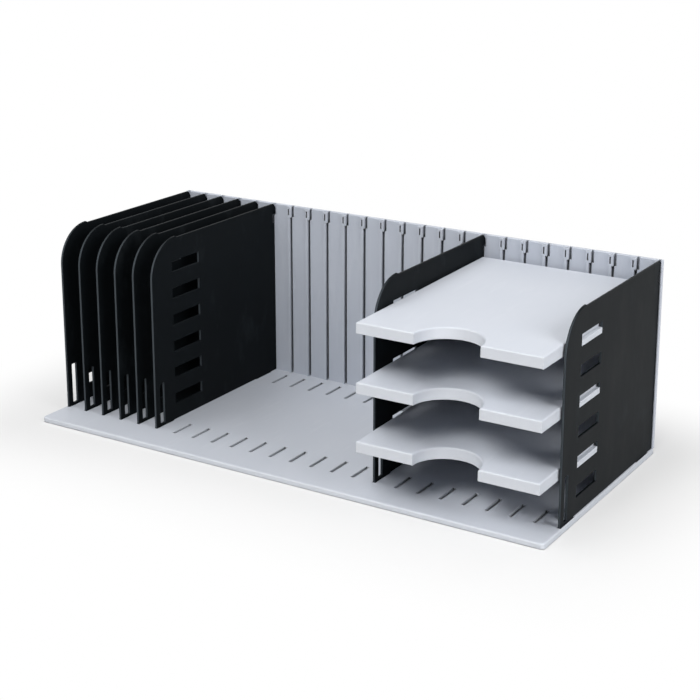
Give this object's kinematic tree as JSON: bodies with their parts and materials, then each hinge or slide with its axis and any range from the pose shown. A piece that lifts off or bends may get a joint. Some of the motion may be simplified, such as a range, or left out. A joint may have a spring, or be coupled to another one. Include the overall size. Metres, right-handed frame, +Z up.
{
  "type": "document sorter",
  "caption": "Desktop document sorter: slotted base with a grooved rear wall, upright lift-out dividers, a hanging-file bay and a stack of paper shelves with finger recesses.",
  "frame": {"origin": "under the middle of the base, on the surface that the sorter stands on", "axes": "+X along the row of dividers to the right as seen from the front, +Y from the open front to the rear wall, +Z up"},
  "size_m": [0.728, 0.3264, 0.254],
  "materials": {
    "light_grey_plastic": "satin moulded",
    "black_plastic": "satin moulded",
    "pad_rubber": "matte"
  },
  "bodies": {
    "frame": {"base_plate": "light_grey_plastic", "rear_wall": "light_grey_plastic", "foot_pads": "pad_rubber"},
    "divider_1_panel": {"divider_1": "black_plastic"},
    "divider_2_panel": {"divider_2": "black_plastic"},
    "divider_3_panel": {"divider_3": "black_plastic"},
    "divider_4_panel": {"divider_4": "black_plastic"},
    "divider_5_panel": {"divider_5": "black_plastic"},
    "divider_6_panel": {"divider_6": "black_plastic"},
    "shelf_unit": {"divider_7": "black_plastic", "divider_8": "black_plastic", "shelf_top": "light_grey_plastic", "shelf_middle": "light_grey_plastic", "shelf_bottom": "light_grey_plastic"}
  },
  "joints": [
    {"name": "divider_1_lift", "type": "slide", "parent": "frame", "child": "divider_1_panel", "axis": [0, 0, 1], "range_m": [0, 0.26]},
    {"name": "divider_2_lift", "type": "slide", "parent": "frame", "child": "divider_2_panel", "axis": [0, 0, 1], "range_m": [0, 0.26]},
    {"name": "divider_3_lift", "type": "slide", "parent": "frame", "child": "divider_3_panel", "axis": [0, 0, 1], "range_m": [0, 0.26]},
    {"name": "divider_4_lift", "type": "slide", "parent": "frame", "child": "divider_4_panel", "axis": [0, 0, 1], "range_m": [0, 0.26]},
    {"name": "divider_5_lift", "type": "slide", "parent": "frame", "child": "divider_5_panel", "axis": [0, 0, 1], "range_m": [0, 0.26]},
    {"name": "divider_6_lift", "type": "slide", "parent": "frame", "child": "divider_6_panel", "axis": [0, 0, 1], "range_m": [0, 0.26]},
    {"name": "shelf_unit_lift", "type": "slide", "parent": "frame", "child": "shelf_unit", "axis": [0, 0, 1], "range_m": [0, 0.26]}
  ]
}
